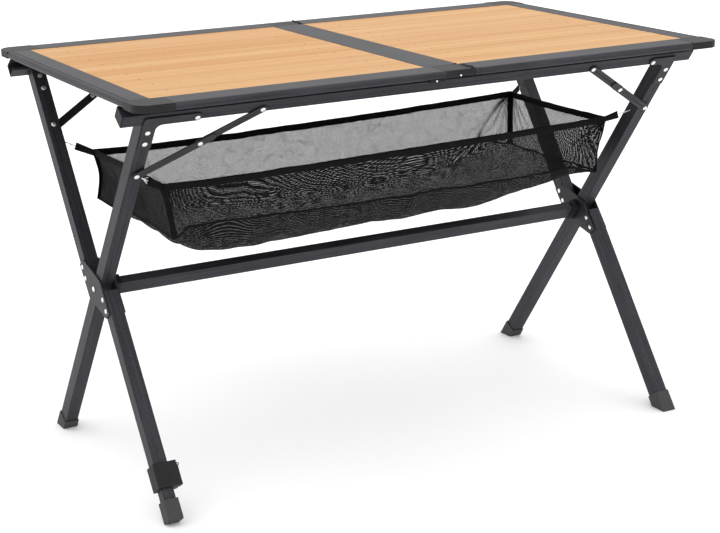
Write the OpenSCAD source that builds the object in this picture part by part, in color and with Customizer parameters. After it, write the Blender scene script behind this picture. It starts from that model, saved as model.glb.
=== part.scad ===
// Folding camp kitchen table.
// A slatted bamboo top lies on two crossed leg frames with a net shelf between them.
// X runs along the table to the right, Y to the back, Z up.
// The origin is on the ground under the middle of the table.

/* [Table top] */
// Length of the top, end to end
top_l = 1160; // [1000:10:1300]
// Depth of the top, front to back
top_w = 700; // [640:10:760]
// Height of the top surface above the ground
top_h = 740; // [700:5:780]
// Thickness of the aluminium rim
top_t = 13; // [11:0.5:16]
// Width of the flat profile at each end
end_w = 45; // [35:1:60]
// Depth of the slatted field, front to back
field_w = 585; // [540:5:600]
// Width of the bar across the middle
bar_w = 66; // [50:1:80]
// Distance of the folding seam right of the middle
seam_x = 38; // [30:1:50]
// Slats in each half
slat_n = 10; // [6:1:14]
// Thickness of a slat
slat_t = 8; // [6:0.5:9]
// Radius of the rounded corners
corner_r = 26; // [15:1:40]

/* [Leg frames] */
// Lean of each leg from upright, in degrees
lean = 36; // [32:1:40]
// Height of the scissor pivots
pivot_h = 350; // [330:5:370]
// Width of a leg tube along the table
leg_x = 25; // [22:0.5:30]
// Thickness of a leg tube in the plane where it swings
leg_y = 27; // [22:0.5:28]
// Wall of the leg tubes
wall = 1.8; // [1.2:0.1:2.5]
// Distance of the legs' outer faces from the middle
leg_out = 540; // [500:5:560]
// Step from the pivot to the middle of a split leg
leg_step = 28; // [27.5:0.5:34]
// Length of the aprons under the top
apron_l = 1150; // [1000:10:1200]
// Depth of an apron along the leg
apron_u = 24; // [22:1:40]

/* [Hub and brackets] */
// Thickness of the hub plates, brackets and stays
plate_t = 3; // [2:0.5:4]
// Diameter of the scissor pivot bolts
pivot_d = 6; // [5:0.5:8]
// Diameter of the rivets
rivet_d = 5; // [4:0.5:6]
// Arm of the left brackets along the apron
arm_left = 103; // [80:1:130]
// Arm of the right brackets along the apron
arm_right = 62; // [50:1:80]

/* [Levelling foot] */
// How far the inner tube shows below the collar when it is pushed in
level_show = 20; // [19:1:40]

/* [Net shelf] */
// Length of the net rim
net_l = 920; // [800:10:940]
// Depth of the net rim
net_w = 330; // [280:10:350]
// Height of the net rim at the middle
net_h = 570; // [540:1:580]
// Height of the net floor at the middle
net_floor_h = 420; // [400:1:440]
// How much higher the net's right end hangs
net_rise = 16; // [0:1:25]

/* [Hidden] */
$fn = 48;

metal = [0.27, 0.27, 0.29];
metal_dark = [0.2, 0.2, 0.22];
black = [0.07, 0.07, 0.08];
bamboo = [0.86, 0.68, 0.42];
silver = [0.78, 0.78, 0.8];
mesh = [0.16, 0.16, 0.17];

// Clearances
gap = 0.3;          // between faces that slide past each other
run = 0.05;         // radial running clearance of a pin
over = 20;          // excess length that a later cut takes away

// Top
half_l = top_l / 2;
half_w = top_w / 2;
field_x = half_l - end_w;
field_y = field_w / 2;
rail_w = half_w - field_y;
rail_z = top_h - top_t;
nose_r = top_t / 2;
rim_wall = 1.8;     // wall of the hollow rim profiles
sink = 0.5;         // the slats sit this far below the rim
slat_z = top_h - sink - slat_t;
slat_pitch = field_w / slat_n;
slat_gap = 0.15;
seam_gap = 0.6;
cap_l = 65;
batten_w = 25;
screw_d = 4;
screw_l = 11;
screw_in = 52;      // from a slat's end to its screw
screw_edge = 3.5;   // from a slat's back edge to its screw
notch_x = 5;        // small notch at the right-hand end of each joint
notch_y = 2.5;
groove_w = 1.6;
groove_in = 9;
t_cap_w = 57;
plug_w = 9.5;
hinge_z = top_h + 0.4;
hinge_x = seam_x + seam_gap / 2;
hinge_d = 2;
knuckle_r = 2.2;
knuckle_l = 10;
relief_r = 2.6;
hinge_y = half_w - 26;
cap_screw_d = 3.5;
cap_screw_l = 6;
cap_screw_x = seam_x - 29;
cap_screw_z = rail_z + 3.5;
clip_l = 30;        // catch under the rail beside each end block
clip_y = 20;
clip_z = 5;
clip_in = 4;        // from the front of the rail to the catch
clip_screw_x = seam_x - t_cap_w - 18;

// Leg frames; u is the distance from the pivot along a leg
leg_mid = leg_out - leg_x / 2;
leg_in = leg_out - leg_x;
face_y = leg_y / 2;
sole_u = pivot_h / cos(lean);
split_sole_u = (pivot_h + leg_step * sin(lean)) / cos(lean);
under_h = rail_z - gap;
apron_top_a = (under_h - pivot_h - face_y * sin(lean)) / cos(lean);
apron_top_b = (under_h - pivot_h + (leg_step - face_y) * sin(lean)) / cos(lean);
leg_top_a = apron_top_a - apron_u;
leg_top_b = apron_top_b - apron_u;
apron_t = 2;
apron_lip = 6;
plug_t = 2;
plug_l = 12;
split_start = 20;
rubber_t = 2;
rubber_l = 32;
sole_t = 14;
bolt_head_r = 5;
bolt_head_t = 2.2;
socket_l = 15;
stretch_u = 32;
stretch_y = 16;
stretch_end = leg_in - 2 * gap - plate_t - socket_l;
plug_in = 4;        // depth of the stretcher in its sockets

// Brackets and stays, measured from the lower edge of the apron
arm_h = 17;
plate_corner = 5;
leg_rivets = [-16, -42];
leg_arm = 54;
arm_rivet = 7;
bend_r = 12;
stay_w = 15;
stay_t = 2.5;
stay_foot = -118;
stay_reach = [200, 180];
stay_tail = 22;     // stop on the lower link, past the middle rivet
head_r = 4.5;
head_t = 1.6;

// Hub
hub_rivets = [32, 54];
hub_end = 64;
hub_half = 11;      // half width of a plate beside its leg
hub_waist = 8;      // how far the waist stands outside the middle of each leg
hub_knee = 2;

// Levelling foot
tube_end = 352;
collar_top = 343;
collar_end = 387;
collar_wrap = 3.5;  // wall of the collar outside and in front of the tube
collar_arm = 14;    // width of the block that holds the lever
collar_x0 = leg_out + gap + collar_wrap;
collar_x1 = leg_in - gap - collar_arm;
collar_y = leg_y + 2 * collar_wrap;
foot_top = collar_end + level_show;
foot_wall = 3;      // rubber round the inner tube
foot_round = 5;     // rounding of the sole, which stands on its back edge
slit_w = 2;
slit_in = 4;        // from the outer tube's end to the clamping slit
lug_t = 3;
tube_gap = 0.25;
level_in = 130;     // length of the inner tube inside the outer one
lever_w = 16;
lever_t = 4;
lever_l = 36;
lever_pin_u = 350;
lever_pin_d = 2.4;
lever_eye_r = 3;
lever_x = collar_x1 - lever_eye_r - gap;

// Net
net_t = 1.5;
tape_w = 12;
tape_t = 3;
hook_d = 2;
hook_off = 1;       // clear of the leg's face
hook_a_u = 292;     // where the hooks hold on the long legs
hook_b_u = 304;     // and on the split legs
net_x = net_l / 2;
net_y = net_w / 2;

// ---- Helpers ----

module frame_a() translate([0, 0, pivot_h]) rotate([lean, 0, 0]) children();

module frame_b() translate([0, 0, pivot_h]) rotate([-lean, 0, 0]) children();

module on_right() mirror([1, 0, 0]) children();

module both() {
  children();
  mirror([1, 0, 0]) children();
}

module front_and_back() {
  children();
  mirror([0, 1, 0]) children();
}

// Everything above the ground plane
module above_ground() {
  difference() {
    children();
    translate([-top_l, -top_l, -top_l]) cube([2 * top_l, 2 * top_l, top_l]);
  }
}

// A rod along X from x0 to x1
module rod_x(x0, x1, d) translate([x0, 0, 0]) rotate([0, 90, 0]) cylinder(d = d, h = x1 - x0);

// A rod along Y from y0 to y1
module rod_y(y0, y1, d) translate([0, y1, 0]) rotate([90, 0, 0]) cylinder(d = d, h = y1 - y0);

// Rectangular tube from u0 to u1, centred on X = x and on y
module tube(x, y, u0, u1, wx, wy, t) {
  difference() {
    translate([x - wx / 2, y - wy / 2, u0]) cube([wx, wy, u1 - u0]);
    translate([x - wx / 2 + t, y - wy / 2 + t, u0 - 1]) cube([wx - 2 * t, wy - 2 * t, u1 - u0 + 2]);
  }
}

// Flat link of width w between two holes in the XZ plane; its tail runs on past the second
module link(p, q, w, y0, t, hole, tail = 0) {
  length = norm(q - p);
  turn = atan2(q[1] - p[1], q[0] - p[0]);
  translate([p[0], y0 + t, p[1]]) rotate([90, 0, 0]) rotate([0, 0, turn])
    linear_extrude(t) difference() {
      union() {
        circle(d = w);
        translate([length + tail, 0]) circle(d = w);
        translate([0, -w / 2]) square([length + tail, w]);
      }
      circle(d = hole);
      translate([length, 0]) circle(d = hole);
    }
}

// Rivet along Y from face y0 to face y1, with a domed head on each
module rivet(x, u, y0, y1) {
  translate([x, 0, u]) {
    rod_y(y0, y1, rivet_d);
    translate([0, y0, 0]) rotate([90, 0, 0]) rivet_head();
    translate([0, y1, 0]) rotate([-90, 0, 0]) rivet_head();
  }
}

module rivet_head() {
  cylinder(r = head_r, h = head_t / 2);
  translate([0, 0, head_t / 2]) cylinder(r1 = head_r, r2 = head_r * 0.6, h = head_t / 2);
}

// ---- Long legs, from the front apron down to the back feet ----

module long_leg() {
  frame_a() difference() {
    tube(-leg_mid, 0, -sole_u + sole_t, leg_top_a, leg_x, leg_y, wall);
    rod_x(-leg_out - 1, -leg_in + 1, pivot_d);
    for (du = leg_rivets) translate([-leg_mid, 0, leg_top_a + du]) rod_y(-leg_y, leg_y, rivet_d);
    translate([-leg_mid, 0, leg_top_a + stay_foot]) rod_y(-leg_y, leg_y, rivet_d);
  }
}

module long_leg_left() color(metal) long_leg();

module long_leg_right() color(metal) on_right() long_leg();

// ---- Aprons: lipped channels, open towards the middle of the table ----

// Section in the plane of Y and u; the web is at y = -face_y
module apron_section() {
  difference() {
    translate([-face_y, 0]) square([leg_y, apron_u]);
    translate([-face_y + apron_t, apron_t]) square([leg_y - 2 * apron_t, apron_u - 2 * apron_t]);
    translate([0, apron_lip]) square([leg_y, apron_u - 2 * apron_lip]);
  }
}

module apron_bar() {
  translate([-apron_l / 2, 0, 0]) rotate([90, 0, 90]) linear_extrude(apron_l) apron_section();
}

module apron_holes(u0) {
  for (x = arm_holes()) translate([x, 0, u0 + arm_rivet]) rod_y(-leg_y, 0, rivet_d);
  for (x = stay_heads()) translate([x, 0, u0 + arm_rivet]) rod_y(-leg_y, 0, rivet_d);
}

function arm_holes() = [-leg_out + arm_left - 8, leg_out - arm_right + 8];

function stay_heads() = [-leg_mid + stay_reach[0], leg_mid - stay_reach[1]];

module apron_front() color(metal) frame_a() difference() {
  translate([0, 0, leg_top_a]) apron_bar();
  apron_holes(leg_top_a);
}

module apron_back() color(metal) frame_b() translate([0, leg_step, 0]) mirror([0, 1, 0])
  difference() {
    translate([0, 0, leg_top_b]) apron_bar();
    apron_holes(leg_top_b);
  }

// Plugs that close the ends of the front apron
module apron_plugs() color(black) frame_a() both() translate([-apron_l / 2, 0, leg_top_a]) {
  translate([-plug_t, -face_y, 0]) cube([plug_t, leg_y, apron_u]);
  translate([0, -face_y + apron_t + gap, apron_t + gap])
    cube([plug_l, leg_y - 2 * (apron_t + gap), apron_u - 2 * (apron_t + gap)]);
}

// ---- L brackets that join the legs to the aprons ----

// Plate in the XZ plane, drawn for a left leg, with its inner corner rounded
module bracket_outline(arm) {
  difference() {
    union() {
      translate([-leg_out + 2, -leg_arm]) square([leg_x - 2, leg_arm + arm_h - plate_corner]);
      translate([-leg_out + 2 + plate_corner, arm_h - plate_corner]) circle(r = plate_corner);
      translate([-leg_out + 2 + plate_corner, 0]) square([arm - 2 - plate_corner - arm_h / 2, arm_h]);
      translate([-leg_out + arm - arm_h / 2, arm_h / 2]) circle(d = arm_h);
      translate([-leg_in, -bend_r]) square([bend_r, bend_r]);
    }
    translate([-leg_in + bend_r, -bend_r]) circle(r = bend_r);
    for (du = leg_rivets) translate([-leg_mid, du]) circle(d = rivet_d);
    translate([-leg_out + arm - 8, arm_rivet]) circle(d = rivet_d);
  }
}

module bracket(arm, u0) {
  translate([0, -face_y, u0]) rotate([90, 0, 0]) linear_extrude(plate_t) bracket_outline(arm);
}

module outside_b() frame_b() translate([0, leg_step, 0]) mirror([0, 1, 0]) children();

module bracket_front_left() color(metal) frame_a() bracket(arm_left, leg_top_a);

module bracket_front_right() color(metal) frame_a() on_right() bracket(arm_right, leg_top_a);

module bracket_back_left() color(metal) outside_b() bracket(arm_left, leg_top_b);

module bracket_back_right() color(metal) outside_b() on_right() bracket(arm_right, leg_top_b);

// ---- Folding stays: two links between each leg and its apron ----

function stay_start(u0) = [-leg_mid, u0 + stay_foot];

function stay_end(u0, reach) = [-leg_mid + reach, u0 + arm_rivet];

function stay_mid(u0, reach) = (stay_start(u0) + stay_end(u0, reach)) / 2;

module stay_lower(u0, reach) {
  link(stay_start(u0), stay_mid(u0, reach), stay_w, -face_y - 2 * stay_t, stay_t, rivet_d, stay_tail);
}

module stay_upper(u0, reach) {
  link(stay_mid(u0, reach), stay_end(u0, reach), stay_w, -face_y - stay_t, stay_t, rivet_d);
}

module stay_lower_front() color(metal_dark) frame_a() {
  stay_lower(leg_top_a, stay_reach[0]);
  on_right() stay_lower(leg_top_a, stay_reach[1]);
}

module stay_upper_front() color(metal_dark) frame_a() {
  stay_upper(leg_top_a, stay_reach[0]);
  on_right() stay_upper(leg_top_a, stay_reach[1]);
}

module stay_lower_back() color(metal_dark) outside_b() {
  stay_lower(leg_top_b, stay_reach[0]);
  on_right() stay_lower(leg_top_b, stay_reach[1]);
}

module stay_upper_back() color(metal_dark) outside_b() {
  stay_upper(leg_top_b, stay_reach[0]);
  on_right() stay_upper(leg_top_b, stay_reach[1]);
}

// ---- Rivets ----

// One side's rivets, drawn for a left leg
module side_rivets(u0, arm, reach) {
  for (du = leg_rivets) rivet(-leg_mid, u0 + du, -face_y - plate_t, face_y);
  rivet(-leg_mid, u0 + stay_foot, -face_y - 2 * stay_t, face_y);
  rivet(-leg_out + arm - 8, u0 + arm_rivet, -face_y - plate_t, -face_y + apron_t);
  middle = stay_mid(u0, reach);
  rivet(middle[0], middle[1], -face_y - 2 * stay_t, -face_y);
  stay_top = stay_end(u0, reach);
  rivet(stay_top[0], stay_top[1], -face_y - stay_t, -face_y + apron_t);
  translate([-leg_mid, 0, u0 + stay_foot]) difference() {
    rod_y(-face_y - stay_t, -face_y, 2 * head_r);
    rod_y(-leg_y, 0, rivet_d - 0.1);
  }
}

module rivets_front() color(silver) frame_a() {
  side_rivets(leg_top_a, arm_left, stay_reach[0]);
  on_right() side_rivets(leg_top_a, arm_right, stay_reach[1]);
}

// Rivet along X through both hub plates
module hub_rivet(y, u) {
  x0 = -leg_out - gap - plate_t;
  x1 = -leg_in + gap + plate_t;
  translate([0, y, u]) {
    rod_x(x0, x1, rivet_d);
    translate([x0, 0, 0]) rotate([0, -90, 0]) rivet_head();
    translate([x1, 0, 0]) rotate([0, 90, 0]) rivet_head();
  }
}

module rivets_back() color(silver) {
  outside_b() {
    side_rivets(leg_top_b, arm_left, stay_reach[0]);
    on_right() side_rivets(leg_top_b, arm_right, stay_reach[1]);
  }
  frame_b() both() for (u = hub_rivets, side = [-1, 1]) hub_rivet(side * leg_step, side * u);
  clamp_pin();
}

// ---- Scissor hub ----

// Plate in the plane of Y and u: it reaches from one half of the split leg to the other
module hub_plate(x) {
  translate([x, 0, 0]) rotate([90, 0, 90]) linear_extrude(plate_t) difference() {
    polygon([
      [-leg_step - hub_half, -hub_end], [-leg_step + hub_half, -hub_end],
      [leg_step + hub_waist, -hub_knee], [leg_step + hub_half, hub_end],
      [leg_step - hub_half, hub_end], [-leg_step - hub_waist, hub_knee]
    ]);
    circle(d = pivot_d + 2 * run);
    for (side = [-1, 1], u = hub_rivets) translate([side * leg_step, side * u]) circle(d = rivet_d);
  }
}

module hub_plates_outer() color(metal) frame_b() both() hub_plate(-leg_out - gap - plate_t);

module hub_plates_inner() color(metal) frame_b() both() hub_plate(-leg_in + gap);

module pivot_bolts() color(silver) frame_a() both() {
  x0 = -leg_out - 2 * gap - plate_t;
  x1 = -leg_in + 2 * gap + plate_t;
  rod_x(x0, x1 + socket_l - plug_in - 1, pivot_d);
  translate([x0, 0, 0]) rotate([0, -90, 0]) {
    cylinder(r = bolt_head_r, h = bolt_head_t / 2);
    translate([0, 0, bolt_head_t / 2])
      cylinder(r1 = bolt_head_r, r2 = bolt_head_r * 0.65, h = bolt_head_t / 2);
  }
}

// ---- Stretcher on the scissor axis ----

module stretcher() color(metal) frame_a() difference() {
  x = stretch_end + plug_in;
  translate([-x, -stretch_y / 2, -stretch_u / 2]) cube([2 * x, stretch_y, stretch_u]);
  translate([-x - 1, -stretch_y / 2 + wall, -stretch_u / 2 + wall])
    cube([2 * x + 2, stretch_y - 2 * wall, stretch_u - 2 * wall]);
}

module stretcher_sockets() color(black) frame_a() both() {
  x0 = -leg_in + 2 * gap + plate_t;
  wide = stretch_y + 6;
  high = stretch_u + 6;
  difference() {
    translate([x0, -wide / 2, -high / 2]) cube([socket_l, wide, high]);
    translate([x0 + socket_l - plug_in, -stretch_y / 2, -stretch_u / 2])
      cube([plug_in + 1, stretch_y, stretch_u]);
    rod_x(x0 - 1, x0 + socket_l - plug_in - 1, pivot_d);
  }
}

// ---- Split legs: upper part behind the pivot, lower part in front of it ----

split_x = leg_x + 2 * gap;

module split_holes(side) {
  for (u = hub_rivets) translate([0, side * leg_step, side * u])
    rod_x(-leg_out - 2, -leg_in + 2, rivet_d);
}

module upper_leg() {
  frame_b() difference() {
    tube(-leg_mid, leg_step, split_start, leg_top_b, split_x, leg_y, wall);
    split_holes(1);
    for (du = concat(leg_rivets, [stay_foot]))
      translate([-leg_mid, leg_step, leg_top_b + du]) rod_y(-leg_y, leg_y, rivet_d);
  }
}

module upper_leg_left() color(metal) upper_leg();

module upper_leg_right() color(metal) on_right() upper_leg();

module lower_leg(end) {
  frame_b() difference() {
    tube(-leg_mid, -leg_step, -end, -split_start, split_x, leg_y, wall);
    split_holes(-1);
  }
}

module lower_leg_left() color(metal) lower_leg(tube_end);

module lower_leg_right() color(metal) on_right() lower_leg(split_sole_u - sole_t);

// Plugs flush with the split legs' ends at the hub
module leg_plugs() color(black) frame_b() both() for (side = [-1, 1])
  translate([-leg_mid - split_x / 2 + wall, side * leg_step - leg_y / 2 + wall,
             side * (split_start + plug_t) - plug_t])
    cube([split_x - 2 * wall, leg_y - 2 * wall, 2 * plug_t]);

// ---- Rubber feet ----

// Sleeve round a square tube, cut level with the ground
module rubber_foot(y, end, wx, wy) {
  difference() {
    translate([-leg_mid - wx / 2 - rubber_t, y - wy / 2 - rubber_t, -end - over])
      cube([wx + 2 * rubber_t, wy + 2 * rubber_t, rubber_l + over]);
    translate([-leg_mid - wx / 2, y - wy / 2, -end + sole_t]) cube([wx, wy, rubber_l]);
  }
}

module foot_back_left() color(black) above_ground() frame_a()
  rubber_foot(0, sole_u, leg_x, leg_y);

module foot_back_right() color(black) above_ground() frame_a() on_right()
  rubber_foot(0, sole_u, leg_x, leg_y);

module foot_front_right() color(black) above_ground() frame_b() on_right()
  rubber_foot(-leg_step, split_sole_u, split_x, leg_y);

// ---- Levelling foot: inner tube, clamp collar and lever ----

level_wx = split_x - 2 * wall - 2 * tube_gap;
level_wy = leg_y - 2 * wall - 2 * tube_gap;
foot_wx = level_wx + 2 * foot_wall;
foot_wy = level_wy + 2 * foot_wall;
round_h = pivot_h - foot_round + (leg_step - foot_wy / 2 + foot_round) * sin(lean);
level_sole_u = round_h / cos(lean) + foot_round;

module level_tube() color(metal) frame_b()
  tube(-leg_mid, -leg_step, -level_sole_u + sole_t, -tube_end + level_in, level_wx, level_wy, wall);

// Section of the foot in the plane of Y and u, from the sole up
module foot_section() {
  translate([-foot_wy / 2, foot_round]) square([foot_wy, level_sole_u - foot_top - foot_round]);
  translate([-foot_wy / 2 + foot_round, 0]) square([foot_wy - 2 * foot_round, 2 * foot_round]);
  for (side = [-1, 1]) translate([side * (foot_wy / 2 - foot_round), foot_round]) circle(r = foot_round);
}

module level_foot() color(black) frame_b() translate([-leg_mid, -leg_step, -level_sole_u]) difference() {
  translate([-foot_wx / 2, 0, 0]) rotate([90, 0, 90]) linear_extrude(foot_wx) foot_section();
  translate([-level_wx / 2, -level_wy / 2, sole_t]) cube([level_wx, level_wy, level_sole_u]);
}

// Collar round the end of the outer tube, stepped in to guide the inner tube
module clamp_collar() color(black) frame_b() {
  difference() {
    translate([-collar_x0, -leg_step - collar_y / 2, -collar_end])
      cube([collar_x0 - collar_x1, collar_y, collar_end - collar_top]);
    translate([-leg_mid - split_x / 2, -leg_step - leg_y / 2, -tube_end])
      cube([split_x, leg_y, tube_end]);
    translate([-leg_mid - level_wx / 2 - tube_gap, -leg_step - level_wy / 2 - tube_gap, -collar_end - over])
      cube([level_wx + 2 * tube_gap, level_wy + 2 * tube_gap, collar_end]);
    // Clamping slit towards the back
    translate([-leg_mid - slit_w / 2, -leg_step + collar_y / 2 - 2 * collar_wrap, -collar_end - over])
      cube([slit_w, over + 2 * collar_wrap, over + collar_end - tube_end - slit_in]);
  }
  // Lugs that hold the lever's pin
  lug_y = (lever_w + lug_t) / 2 + gap;
  for (side = [-1, 1]) translate([-lever_x, -leg_step + side * lug_y, -lever_pin_u]) difference() {
    union() {
      rod_y(-lug_t / 2, lug_t / 2, 2 * lever_eye_r);
      translate([-lever_eye_r - gap, -lug_t / 2, -lever_eye_r])
        cube([lever_eye_r + gap, lug_t, 2 * lever_eye_r]);
    }
    rod_y(-lug_t, lug_t, lever_pin_d);
  }
}

// Pin of the lever, through the collar's lugs
module clamp_pin() frame_b() translate([-lever_x, -leg_step, -lever_pin_u])
  rod_y(-lever_w / 2 - gap - lug_t, lever_w / 2 + gap + lug_t, lever_pin_d);

// Lever that hangs beside the collar and swings out towards the middle of the table
module clamp_lever() color(metal_dark) frame_b() translate([-lever_x, -leg_step, -lever_pin_u])
  difference() {
    union() {
      rod_y(-lever_w / 2, lever_w / 2, 2 * (lever_eye_r - gap));
      translate([-lever_eye_r + gap, -lever_w / 2, -lever_l]) cube([lever_t, lever_w, lever_l]);
    }
    rod_y(-lever_w, lever_w, lever_pin_d + 2 * run);
  }

// ---- Net shelf ----

// Anything hung level, tilted so that its right end is higher
module hung() translate([0, 0, net_h]) rotate([0, -atan(net_rise / net_l), 0])
  translate([0, 0, -net_h]) children();

module net_floor() color(mesh) hung() translate([-net_x + 30, -net_y + 20, net_floor_h])
  cube([net_l - 60, net_w - 40, net_t]);

module net_long_wall() translate([-net_x + 6, -net_y, net_floor_h + 4])
  cube([net_l - 12, net_t, net_h - tape_w - net_floor_h - 4]);

module net_front() color(mesh) hung() net_long_wall();

module net_back() color(mesh) hung() mirror([0, 1, 0]) net_long_wall();

module net_short_wall() translate([-net_x, -net_y + 6, net_floor_h + 4])
  cube([net_t, net_w - 12, net_h - tape_w - net_floor_h - 4]);

module net_left() color(mesh) hung() net_short_wall();

module net_right() color(mesh) hung() on_right() net_short_wall();

// Tape round the rim, with a loop of tape at each corner
module net_binding() color(black) hung() difference() {
  translate([-net_x - 1, -net_y - 1, net_h - tape_w]) cube([net_l + 2, net_w + 2, tape_w]);
  translate([-net_x - 1 + tape_t, -net_y - 1 + tape_t, net_h - tape_w - 1])
    cube([net_l + 2 - 2 * tape_t, net_w + 2 - 2 * tape_t, tape_w + 2]);
}

// Wire hook between two points
module wire(p, q) {
  run_v = q - p;
  length = norm(run_v);
  translate(p) rotate([0, acos(run_v[2] / length), atan2(run_v[1], run_v[0])])
    cylinder(d = hook_d, h = length);
}

// Points beside the inner faces of the legs, and the rim corners that they hold; end is -1 on the left
function leg_point_a(end) = [
  end * (leg_in - hook_off), -hook_a_u * sin(lean), pivot_h + hook_a_u * cos(lean)
];

function leg_point_b(end) = [
  end * (leg_in - gap - hook_off), leg_step * cos(lean) + hook_b_u * sin(lean),
  pivot_h - leg_step * sin(lean) + hook_b_u * cos(lean)
];

function rim_corner(end, side) = [
  end * (net_x + 1 + hook_d / 2 + gap), side * (net_y - 6), net_h - tape_w / 2 + end * net_rise / 2
];

module net_hooks_front() color(silver) for (end = [-1, 1]) wire(leg_point_a(end), rim_corner(end, -1));

module net_hooks_back() color(silver) for (end = [-1, 1]) wire(leg_point_b(end), rim_corner(end, 1));

// ---- Table top ----

// Section of a rim profile in the plane across it, with a round nose outside
module nosed_section(wide) {
  translate([nose_r, nose_r]) circle(r = nose_r);
  translate([nose_r, 0]) square([wide - nose_r, top_t]);
}

// The same section as a hollow extrusion
module hollow_section(wide) {
  difference() {
    nosed_section(wide);
    translate([nose_r, rim_wall]) square([wide - nose_r - rim_wall, top_t - 2 * rim_wall]);
  }
}

module end_profile() {
  difference() {
    translate([-half_l, field_y, rail_z]) rotate([90, 0, 0])
      linear_extrude(2 * field_y) hollow_section(end_w);
    translate([-half_l + groove_in, -half_w, top_h - 1]) cube([groove_w, top_w, 2]);
  }
}

module end_profile_left() color(metal) end_profile();

module end_profile_right() color(metal) on_right() end_profile();

// Black corner pieces that join the end profiles to the side rails
module corner_cap() {
  translate([-half_l, -half_w, rail_z]) {
    translate([corner_r, corner_r, 0]) cylinder(r = corner_r, h = top_t);
    translate([corner_r, 0, 0]) cube([cap_l - corner_r, rail_w, top_t]);
    translate([0, corner_r, 0]) cube([end_w, rail_w - corner_r, top_t]);
  }
}

module corner_caps_left() color(black) front_and_back() corner_cap();

module corner_caps_right() color(black) on_right() front_and_back() corner_cap();

// Anything with a section across the front rail, from x0 to x1
module along_front(x0, x1) {
  translate([x0, -half_w, rail_z]) rotate([90, 0, 90]) linear_extrude(x1 - x0) children();
}

module side_rail(x0, x1) along_front(x0, x1) hollow_section(rail_w);

left_rail_end = seam_x - t_cap_w;
right_rail_start = seam_x + seam_gap + plug_w;

module rail_left_front() color(metal) side_rail(-half_l + cap_l, left_rail_end);

module rail_left_back() color(metal) mirror([0, 1, 0]) side_rail(-half_l + cap_l, left_rail_end);

module rail_right_front() color(metal) side_rail(right_rail_start, half_l - cap_l);

module rail_right_back() color(metal) mirror([0, 1, 0]) side_rail(right_rail_start, half_l - cap_l);

// Middle of slat number i, front to back
function slat_y(i) = -field_y + (i + 0.5) * slat_pitch;

// Screws stand beside the joints, one for each slat at each end
function screw_y(i) = slat_y(i) + slat_pitch / 2 - screw_edge;

// Slats between x0 and x1, with a hole for a screw near each end
module slats(x0, x1) {
  wide = slat_pitch - slat_gap;
  for (i = [0:slat_n - 1]) difference() {
    translate([x0, slat_y(i) - wide / 2, slat_z]) cube([x1 - x0, wide, slat_t]);
    translate([x1 - notch_x, slat_y(i) - wide / 2 - notch_y, slat_z - 1])
      cube([2 * notch_x, 2 * notch_y, slat_t + 2]);
    for (x = [x0 + screw_in, x1 - screw_in])
      translate([x, screw_y(i), slat_z - 1]) cylinder(d = screw_d, h = slat_t + 2);
  }
}

module slat_screws(x0, x1) {
  for (i = [0:slat_n - 1], x = [x0 + screw_in, x1 - screw_in])
    translate([x, screw_y(i), slat_z + slat_t - screw_l]) cylinder(d = screw_d, h = screw_l);
}

module battens(x0, x1) {
  difference() {
    for (x = [x0 + screw_in, x1 - screw_in])
      translate([x - batten_w / 2, -field_y, rail_z]) cube([batten_w, field_w, slat_z - rail_z]);
    slat_screws(x0, x1);
  }
}

left_x = [-field_x, seam_x - bar_w];
right_x = [seam_x + seam_gap, field_x];

module slats_left() color(bamboo) slats(left_x[0], left_x[1]);

module slats_right() color(bamboo) slats(right_x[0], right_x[1]);

module slat_screws_left() color(metal_dark) slat_screws(left_x[0], left_x[1]);

module slat_screws_right() color(metal_dark) slat_screws(right_x[0], right_x[1]);

module battens_left() color(metal_dark) battens(left_x[0], left_x[1]);

module battens_right() color(metal_dark) battens(right_x[0], right_x[1]);

module crossbar() color(metal) difference() {
  translate([seam_x - bar_w, -field_y, rail_z]) cube([bar_w, field_w, top_t]);
  translate([seam_x - bar_w + rim_wall, -field_y - 1, rail_z + rim_wall])
    cube([bar_w - 2 * rim_wall, field_w + 2, top_t - 2 * rim_wall]);
}

// Front and back hinge lines of the folding seam
module at_hinge() front_and_back() translate([hinge_x, -hinge_y, hinge_z]) children();

// Knuckle of a half; the web ties it to the half on that side of the seam
module knuckle(y, side, bore) {
  difference() {
    union() {
      rod_y(y, y + knuckle_l, 2 * knuckle_r);
      translate([side < 0 ? -8 : 0, y, -knuckle_r - 0.4]) cube([8, knuckle_l, knuckle_r]);
    }
    rod_y(y - 1, y + knuckle_l + 1, bore);
  }
}

// Block at an end of the crossbar, relieved along the hinge line
module seam_block(x0, x1) {
  front_and_back() difference() {
    along_front(x0, x1) nosed_section(rail_w);
    translate([hinge_x, -half_w / 2, hinge_z]) rod_y(-half_w, half_w / 2, 2 * relief_r);
  }
}

// Screws in the front of the end blocks and of the catches
module cap_screws() color(silver) front_and_back() {
  translate([cap_screw_x, 0, cap_screw_z]) rod_y(-half_w, -half_w + cap_screw_l, cap_screw_d);
  translate([clip_screw_x, 0, rail_z - clip_z / 2])
    rod_y(-half_w + clip_in - 1, -half_w + clip_in + cap_screw_l, cap_screw_d);
}

// Catches under the left rails, beside the end blocks
module seam_clips() color(black) difference() {
  front_and_back() translate([left_rail_end - clip_l, -half_w + clip_in, rail_z - clip_z])
    cube([clip_l, clip_y, clip_z]);
  cap_screws();
}

module t_caps() color(black) {
  difference() {
    seam_block(left_rail_end, seam_x);
    cap_screws();
  }
  at_hinge() for (y = [-1.5 * knuckle_l - 0.2, 0.5 * knuckle_l + 0.2]) knuckle(y, -1, hinge_d);
}

module rail_plugs() color(black) {
  seam_block(seam_x + seam_gap, right_rail_start);
  at_hinge() knuckle(-0.5 * knuckle_l, 1, hinge_d + 2 * run);
}

module hinge_pins() color(silver) at_hinge()
  rod_y(-1.5 * knuckle_l - 0.2, 1.5 * knuckle_l + 0.2, hinge_d);

// ---- Drawing ----

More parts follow.
